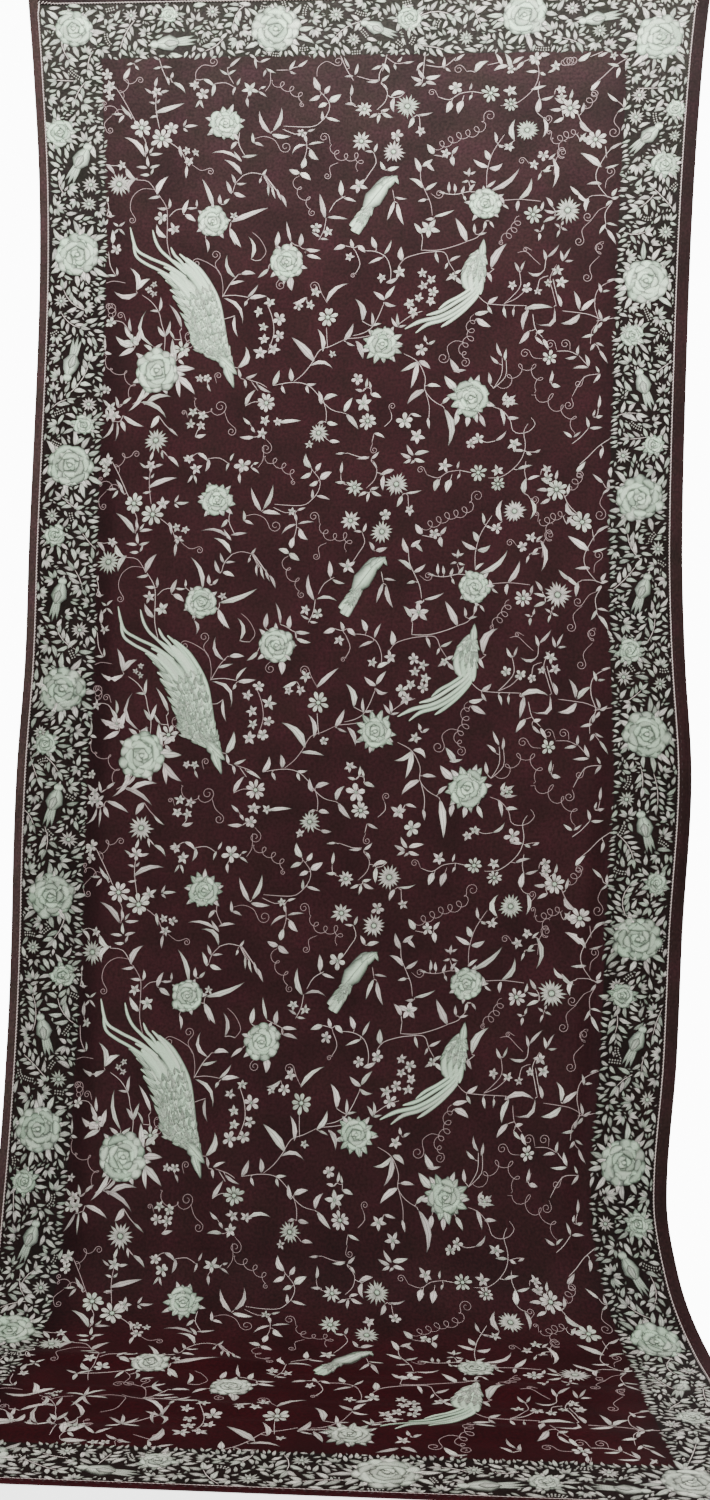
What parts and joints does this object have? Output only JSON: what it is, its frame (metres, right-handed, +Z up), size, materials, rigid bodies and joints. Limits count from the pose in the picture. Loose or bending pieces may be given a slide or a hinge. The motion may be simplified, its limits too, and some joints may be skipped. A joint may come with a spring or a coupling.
{
  "type": "embroidered dupatta hung by its top edge",
  "caption": "Long embroidered dupatta with floral borders, hung flat by its top edge, its foot end swept forward to lie on a floor.",
  "frame": {"origin": "middle of the held top edge, on the back of the cloth", "axes": "+Z up along the hanging cloth, front faces -Y, +X to the right as seen from the front, the foot end lies on a floor at Z = -1.947 and reaches towards -Y"},
  "size_m": [1.047, 0.6726, 1.947],
  "materials": {
    "field": "matt crepe",
    "border": "matt crepe under dense satin stitch",
    "hem": "plain turned crepe",
    "thread": "pale green and cream silk embroidery thread"
  },
  "bodies": {
    "root": {"field_panel": "field", "border_left": "border", "border_right": "border", "border_top": "border", "border_foot": "border", "hem_left": "hem", "hem_right": "hem", "hem_top": "hem", "hem_foot": "hem"}
  },
  "joints": []
}
